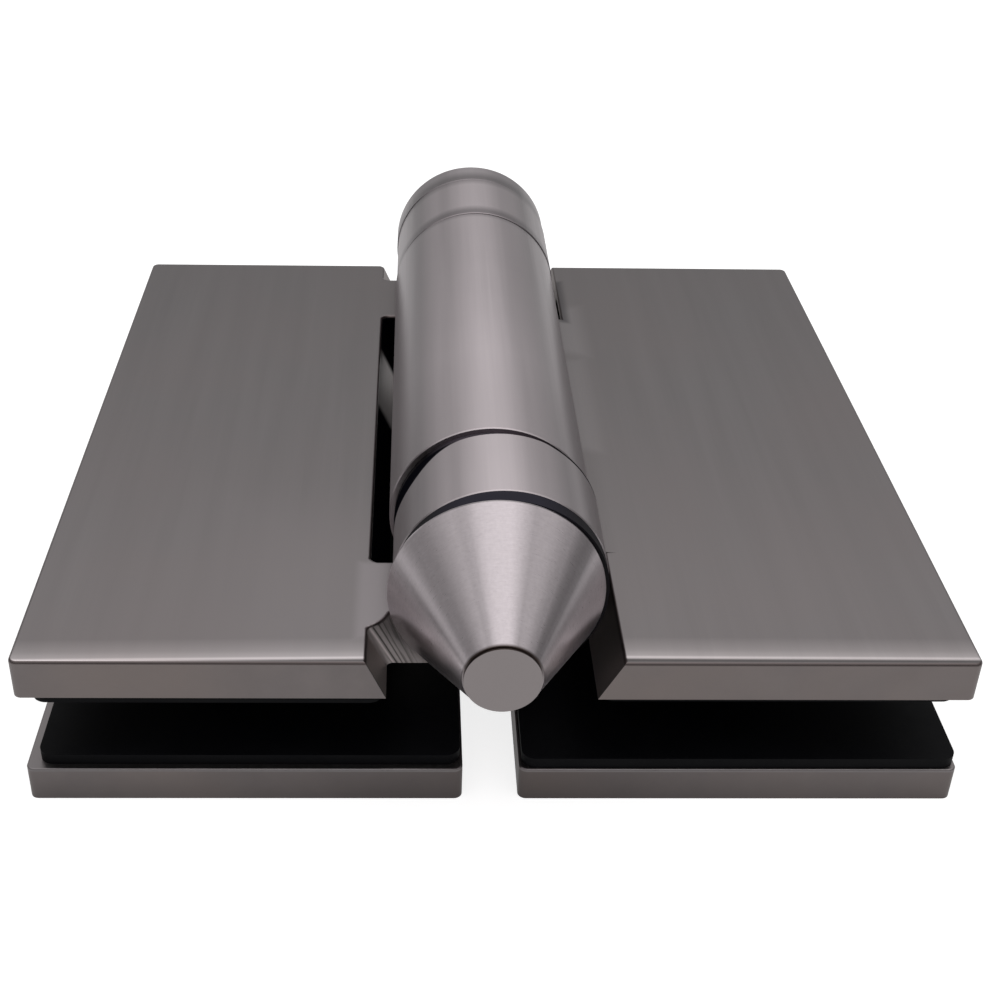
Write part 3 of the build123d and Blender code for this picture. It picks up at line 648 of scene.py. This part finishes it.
capLook = dict(barrelLook, dark=(0.5, 0.462, 0.478), light=(0.58, 0.536, 0.555), seam=(0.08, 0.07, 0.075))
dress(makeBarrelSteel("drawnTube", barrelLook, calm=0.9), "barrel_tube")
dress(makeBarrelSteel("nearRingSteel", barrelLook, gapShadeEnd=nearRingEnd), "near_knuckle")
dress(makeBarrelSteel("farRingSteel", barrelLook), "far_knuckle")
dress(makeBarrelSteel("capSteel", capLook, calm=0.6), "far_cap")


# cone: turned, with very fine rings from the tool, painted light and shade round it, a plain disc at the tip
# and a dark line of painted shade round the disc
turnedLook = {
    "dark": (0.45, 0.412, 0.428),
    "light": (0.54, 0.497, 0.516),
    "disc": (0.3, 0.272, 0.272),
    "discShadeLine": (0.05, 0.036, 0.032),
    "rim": (0.16, 0.145, 0.145),
    # millimetres from the tip, full colour and none
    "discReach": (0.03, 0.06),
    "rimReach": (0.35, 0.6),
    "shadeLineReach": (0.5, 0.85),
    "shadeLineHeights": (-2.5, 3.0),  # no line and full line, from the axis
    "ringsAcross": 9.0,
    "ringsAlong": 0.5,
    "speckleSize": 0.45,
    "speckleShare": 0.8,
    "toneSpan": (0.6, 1.2),
    "rough": (0.27, 0.33),
    "bumpStrength": 0.06,
    "bumpDistance": 0.00001,
}
# painted light and shade round the cone's top: angle from the top, brightness
coneLightCurve = [
    (-1.75, 1.0), (-1.6, 1.4), (-1.45, 1.9), (-1.3, 1.8), (-1.2, 1.0), (-1.0, 1.3), (-0.87, 1.35),
    (-0.75, 1.08), (-0.6, 0.9), (-0.46, 0.87), (-0.38, 0.69), (-0.31, 0.68), (-0.24, 0.84), (-0.16, 0.95),
    (-0.05, 1.0), (0.1, 1.02), (0.18, 0.9), (0.25, 0.78), (0.33, 0.72), (0.4, 0.85), (0.56, 1.08),
    (0.66, 1.18), (0.75, 1.26), (0.84, 0.85), (0.93, 0.6), (1.02, 0.5), (1.1, 0.9), (1.18, 1.15),
    (1.3, 1.75), (1.6, 1.8),
]


def coneColour(tree, place, parts, angle, colour, tip, look):
    def nearTip(at, reach):
        return mapTo(tree, at, parts["Y"], tip + reach[0], tip + reach[1], 1.0, 0.0)

    # painted light and shade round the cone
    colour = scaleColour(tree, (320, 300), colour, followCurve(tree, (-350, 900), angle, coneLightCurve))
    # the rounded rim is as dull as the disc
    colour = mixColours(tree, (380, 450), nearTip((50, 1150), look["rimReach"]), colour, look["rim"])
    # painted shade: dark line round the upper half of the disc
    heights = splitUp(tree, (-150, 600), place)
    upper = riseOver(tree, (50, 600), heights["Z"], [axisZ + rise for rise in look["shadeLineHeights"]])
    line = multiply(tree, (200, 500), nearTip((50, 450), look["shadeLineReach"]), upper)
    colour = mixColours(tree, (400, 300), line, colour, look["discShadeLine"])
    return mixColours(tree, (550, 300), nearTip((50, 750), look["discReach"]), colour, look["disc"])


def makeTurnedSteel(name, look, tip=None):
    material, tree, shader, place = startMaterial(name)
    wrapped = wrapBarrel(tree, (-850, 200), place)
    parts = splitUp(tree, (-680, 350), wrapped.outputs["Vector"])
    turned = addNode(tree, "ShaderNodeCombineXYZ", (-520, 350))
    tree.links.new(parts["X"], turned.inputs["Y"])
    tree.links.new(parts["Y"], turned.inputs["X"])
    tree.links.new(parts["Z"], turned.inputs["Z"])
    grain = useGroup(
        tree, streakGrain, (-350, 250), turned.outputs[0],
        Across=look["ringsAcross"], Along=look["ringsAlong"],
    )
    speckle = useGroup(tree, cloudPatch, (-350, -100), place, Size=look["speckleSize"])
    tone = addUp(tree, (-120, 150), grain.outputs["Fine"], speckle.outputs["Cloud"], look["speckleShare"])
    tone = riseOver(tree, (50, 150), tone, look["toneSpan"])
    colour = mixColours(tree, (250, 200), tone, look["dark"], look["light"])
    if tip is not None:
        colour = coneColour(tree, place, parts, wrapped.outputs["Angle"], colour, tip, look)
    rough = roughFrom(tree, (250, -100), grain.outputs["Fine"], look)
    finishShader(tree, shader, colour, rough, addBump(tree, (500, -350), grain.outputs["Fine"], look))
    return material


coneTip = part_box("end_cone")[0].y * perMetre
dress(makeTurnedSteel("turnedSteel", turnedLook, coneTip), "end_cone")
innerLook = dict(turnedLook, dark=(0.4, 0.395, 0.4), light=(0.52, 0.515, 0.52), ringsAcross=5.0)
innerSteel = makeTurnedSteel("machinedSteel", innerLook)
dress(innerSteel, "pivot_pin", "tension_adjuster", "spring_anchor", "anchor_pin")
print("barrel dressed")


# screws and spring
screwLook = {
    "dark": (0.3, 0.29, 0.29),
    "light": (0.46, 0.445, 0.445),
    "cloudSize": 4.0,
    "grain": 1.2,
    "grainShare": 0.6,
    "toneSpan": (0.55, 1.05),
    "rough": (0.28, 0.5),
    "bumpStrength": 0.2,
    "bumpDistance": 0.00003,
}
springLook = dict(
    screwLook, dark=(0.14, 0.14, 0.15), light=(0.27, 0.27, 0.285), cloudSize=6.0, bumpStrength=0.3
)


def makePlainSteel(name, look):
    material, tree, shader, place = startMaterial(name)
    patches = useGroup(tree, cloudPatch, (-650, 0), place, Size=look["cloudSize"])
    grain = useGroup(tree, streakGrain, (-650, 300), place, Across=look["grain"], Along=look["grain"])
    tone = addUp(tree, (-400, 150), patches.outputs["Cloud"], grain.outputs["Fine"], look["grainShare"])
    tone = riseOver(tree, (-200, 150), tone, look["toneSpan"])
    colour = mixColours(tree, (0, 200), tone, look["dark"], look["light"])
    rough = roughFrom(tree, (0, -100), grain.outputs["Fine"], look)
    finishShader(tree, shader, colour, rough, addBump(tree, (400, -350), grain.outputs["Fine"], look))
    return material


screwSteel = makePlainSteel("screwSteel", screwLook)
dress(screwSteel, "left_clamp_screws", "right_clamp_screws", "knuckle_lock_screws")
dress(makePlainSteel("springWire", springLook), "torsion_spring")


# rubber sheets, seal, sleeves and bearings
rubberLook = {
    "dark": (0.0006, 0.0008, 0.0016),
    "light": (0.0016, 0.0018, 0.003),
    "dust": (0.012, 0.012, 0.014),
    "dustShare": 0.12,
    "cloudSize": 14.0,
    "speckSize": 0.7,
    "toneSpan": (0.35, 0.7),
    "shine": 0.12,
    "rough": (0.5, 0.68),
    "grainSize": 0.35,
    "bumpStrength": 0.25,
    "bumpDistance": 0.00002,
}
# painted sheen: rings round the barrel are lighter on top
sealLook = dict(
    rubberLook, dark=(0.004, 0.0035, 0.005), light=(0.007, 0.006, 0.009), topSheen=(0.021, 0.0195, 0.03)
)
plasticLook = dict(
    rubberLook, dark=(0.008, 0.008, 0.009), light=(0.014, 0.014, 0.015), rough=(0.32, 0.48), shine=0.3
)
flangeLook = dict(
    plasticLook, dark=(0.002, 0.002, 0.003), light=(0.004, 0.004, 0.006),
    topSheen=(0.068, 0.057, 0.07), shine=0.02,
)
# angle from the top, how much painted sheen
topSheenCurve = [(-1.6, 0.0), (-0.75, 0.0), (-0.35, 1.0), (0.35, 1.0), (0.8, 0.0), (1.6, 0.0)]


def makeBlackRubber(name, look):
    material, tree, shader, place = startMaterial(name, metallic=0.0)
    patches = useGroup(
        tree, cloudPatch, (-650, 150), place, Size=look["cloudSize"], Speck_size=look["speckSize"]
    )
    pebble = addNode(tree, "ShaderNodeTexVoronoi", (-650, -150))
    pebble.inputs["Scale"].default_value = 1.0 / look["grainSize"]
    tree.links.new(place, pebble.inputs["Vector"])
    tone = riseOver(tree, (-350, 200), patches.outputs["Cloud"], look["toneSpan"])
    colour = mixColours(tree, (-100, 200), tone, look["dark"], look["light"])
    # painted sheen on the top of rings round the barrel
    if "topSheen" in look:
        angle = wrapBarrel(tree, (-650, 450), place).outputs["Angle"]
        onTop = followCurve(tree, (-420, 450), angle, topSheenCurve)
        colour = mixColours(tree, (60, 350), onTop, colour, look["topSheen"])
    specks = riseOver(tree, (-350, -20), patches.outputs["Speck"], (0.0, 1.0), look["dustShare"])
    colour = mixColours(tree, (150, 200), specks, colour, look["dust"])
    rough = roughFrom(tree, (150, -100), patches.outputs["Cloud"], look)
    shader.inputs["Specular IOR Level"].default_value = look["shine"]
    finishShader(tree, shader, colour, rough, addBump(tree, (400, -350), pebble.outputs["Distance"], look))
    return material


sheetRubber = makeBlackRubber("sheetRubber", rubberLook)
dress(sheetRubber, "left_front_gasket", "right_front_gasket", "left_back_gasket", "right_back_gasket")
dress(makeBlackRubber("sealRubber", sealLook), "cone_seal")
blackPlastic = makeBlackRubber("blackPlastic", plasticLook)
dress(blackPlastic, "far_bush", "left_spacer_bushes", "right_spacer_bushes")
dress(makeBlackRubber("topSheenPlastic", flangeLook), "near_bush")
print("rubber and plastic dressed")


# floor, light and camera
studio = {
    "floorSize": 8.0,
    "floorColour": (0.5, 0.5, 0.5),
    "floorRough": 0.8,
    "floorLift": 0.8,
    "floorInMetal": 0.44,
    # height of a ray, brightness
    "levels": [(0.0, 0.2), (0.35, 0.24), (0.5, 0.43), (0.65, 0.74), (0.8, 0.9), (1.0, 0.88)],
    "tint": 0.985,
    "backWay": (0.2, 0.98, 0.0),
    "backSpan": (0.1, 0.85),
    "backLevel": 0.18,
    "lampPlace": (0.0, -0.04, 0.8),
    "lampTarget": (0.0, -0.04, 0.0),
    "lampSize": (0.92, 0.6),
    "lampPower": 0.8,
    "lampColour": (1.0, 0.98, 0.99),
}
cameraSetup = {
    "place": (-0.01164, -0.21881, 0.15126),
    "turn": -1.52,
    "down": 32.42,
    "roll": 1.10,
    "lens": 53.87,
    "sensor": 36.0,
    "shift": 0.0528,
    "clip": (0.01, 50.0),
}


def largerOf(tree, at, first, second):
    node = addNode(tree, "ShaderNodeMath", at, operation="MAXIMUM")
    tree.links.new(first, node.inputs[0])
    tree.links.new(second, node.inputs[1])
    return node.outputs[0]


def timesNumber(tree, at, value, number):
    node = addNode(tree, "ShaderNodeMath", at, operation="MULTIPLY")
    tree.links.new(value, node.inputs[0])
    node.inputs[1].default_value = number
    return node.outputs[0]


def makeFloor(look):
    # gray to the light, but pale to the camera and in the metal
    bpy.ops.object.select_all(action="DESELECT")
    bpy.ops.mesh.primitive_plane_add(size=look["floorSize"], location=(0, 0, 0))
    floor = bpy.context.object
    floor.name = "studioFloor"
    material = bpy.data.materials.new("paleFloor")
    material.use_nodes = True
    tree = material.node_tree
    shader = tree.nodes["Principled BSDF"]
    path = addNode(tree, "ShaderNodeLightPath", (-700, 0))
    inMetal = timesNumber(tree, (-600, -150), path.outputs["Is Glossy Ray"], look["floorInMetal"])
    seen = largerOf(tree, (-500, 0), path.outputs["Is Camera Ray"], inMetal)
    seen = largerOf(tree, (-330, 0), seen, path.outputs["Is Transmission Ray"])
    lift = timesNumber(tree, (-160, 0), seen, look["floorLift"])
    tree.links.new(lift, shader.inputs["Emission Strength"])
    shader.inputs["Emission Color"].default_value = (1, 1, 1, 1)
    shader.inputs["Base Color"].default_value = (*look["floorColour"], 1)
    shader.inputs["Roughness"].default_value = look["floorRough"]
    shader.inputs["Specular IOR Level"].default_value = 0.0
    floor.data.materials.append(material)


def makeWorld(look):
    # darker towards the horizon, lighter overhead and behind the hinge, and plain white to the camera
    world = bpy.data.worlds.new("softStudio")
    bpy.context.scene.world = world
    world.use_nodes = True
    tree = world.node_tree
    background = tree.nodes["Background"]
    way = addNode(tree, "ShaderNodeTexCoord", (-1100, 0)).outputs["Generated"]
    ramp = addNode(tree, "ShaderNodeValToRGB", (-700, 100))
    steps = ramp.color_ramp.elements
    while len(steps) < len(look["levels"]):
        steps.new(0.5)
    for step, (height, level) in zip(steps, look["levels"]):
        step.position = height
        step.color = (level, level * look["tint"], level * look["tint"], 1)
    tree.links.new(splitUp(tree, (-900, 100), way)["Z"], ramp.inputs[0])
    backGlow = addNode(tree, "ShaderNodeMapRange", (-700, -200), interpolation_type="SMOOTHSTEP")
    start, end = look["backSpan"]
    setInputs(backGlow, From_Min=start, From_Max=end, To_Min=0.0, To_Max=look["backLevel"])
    tree.links.new(alongWay(tree, (-900, -200), way, look["backWay"]), backGlow.inputs["Value"])
    light = mixColours(tree, (-350, 0), 1.0, ramp.outputs[0], backGlow.outputs[0], blend="ADD")
    path = addNode(tree, "ShaderNodeLightPath", (-500, 300))
    seen = largerOf(tree, (-300, 300), path.outputs["Is Camera Ray"], path.outputs["Is Transmission Ray"])
    backdrop = mixColours(tree, (-150, 100), seen, light, (1.0, 1.0, 1.0))
    tree.links.new(backdrop, background.inputs["Color"])
    background.inputs["Strength"].default_value = 1.0


def makeSoftbox(name, look):
    lamp = bpy.data.lights.new(name, "AREA")
    lamp.shape = "RECTANGLE"
    lamp.size, lamp.size_y = look["lampSize"]
    lamp.energy = look["lampPower"]
    lamp.color = look["lampColour"]
    box = bpy.data.objects.new(name, lamp)
    bpy.context.scene.collection.objects.link(box)
    box.location = look["lampPlace"]
    aim = Vector(look["lampTarget"]) - Vector(look["lampPlace"])
    box.rotation_euler = aim.to_track_quat("-Z", "Y").to_euler()


def placeCamera(setup):
    lensData = bpy.data.cameras.new("photoCamera")
    lensData.lens = setup["lens"]
    lensData.sensor_width = setup["sensor"]
    lensData.shift_x = setup["shift"]
    lensData.clip_start, lensData.clip_end = setup["clip"]
    camera = bpy.data.objects.new("photoCamera", lensData)
    bpy.context.scene.collection.objects.link(camera)
    camera.matrix_world = (
        Matrix.Translation(setup["place"])
        @ Matrix.Rotation(math.radians(setup["turn"]), 4, "Z")
        @ Matrix.Rotation(math.radians(90 - setup["down"]), 4, "X")
        @ Matrix.Rotation(math.radians(setup["roll"]), 4, "Z")
    )
    bpy.context.scene.camera = camera


makeFloor(studio)
makeWorld(studio)
makeSoftbox("softboxTop", studio)
placeCamera(cameraSetup)
bpy.context.scene.view_settings.view_transform = "Standard"
print("studio ready")
